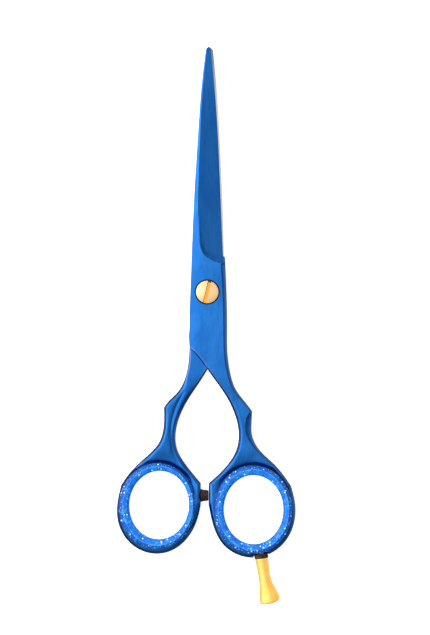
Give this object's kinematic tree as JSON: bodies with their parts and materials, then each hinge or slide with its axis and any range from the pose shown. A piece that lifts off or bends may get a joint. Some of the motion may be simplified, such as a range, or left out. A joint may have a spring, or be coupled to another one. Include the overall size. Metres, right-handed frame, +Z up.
{
  "type": "hair cutting shears",
  "caption": "Slim pointed hair cutting shears with a slotted tension screw, ring inserts, a bumper between the rings and a screw-in finger rest.",
  "frame": {"origin": "on the pivot axis, at the flat end of the pivot screw, on the surface that the shears lie on", "axes": "+Z up along the pivot axis towards the screw head, +Y towards the blade tips, +X towards the finger ring"},
  "size_m": [0.0577, 0.1805, 0.0067],
  "materials": {
    "blue_steel": "mirror-polished steel with a blue coating",
    "gold_metal": "satin gold-coloured turned metal",
    "black_nylon": "matt black nylon",
    "glitter_plastic": "glossy translucent blue with fine glitter",
    "dark_rubber": "soft dark brown-black rubber"
  },
  "bodies": {
    "finger_half": {"finger_blade": "blue_steel", "finger_insert": "glitter_plastic", "screw_washer": "black_nylon", "finger_rest_washer": "dark_rubber"},
    "thumb_half": {"thumb_blade": "blue_steel", "thumb_insert": "glitter_plastic", "bumper": "dark_rubber"},
    "tension_screw": {"pivot_screw": "gold_metal"},
    "finger_rest": {"finger_rest": "gold_metal"}
  },
  "joints": [
    {"name": "blades_open", "type": "hinge", "parent": "finger_half", "child": "thumb_half", "pos_m": [0, 0, 0.0031], "axis": [0, 0, -1], "range_deg": [0, 140]},
    {"name": "tension_turn", "type": "hinge", "parent": "thumb_half", "child": "tension_screw", "pos_m": [0, 0, 0.0031], "axis": [0, 0, 1], "range_deg": [-90, 90]},
    {"name": "finger_rest_turn", "type": "hinge", "parent": "finger_half", "child": "finger_rest", "pos_m": [0.0174, -0.08475, 0.0031], "axis": [0.1392, -0.9903, 0], "range_deg": [0, 180]}
  ]
}
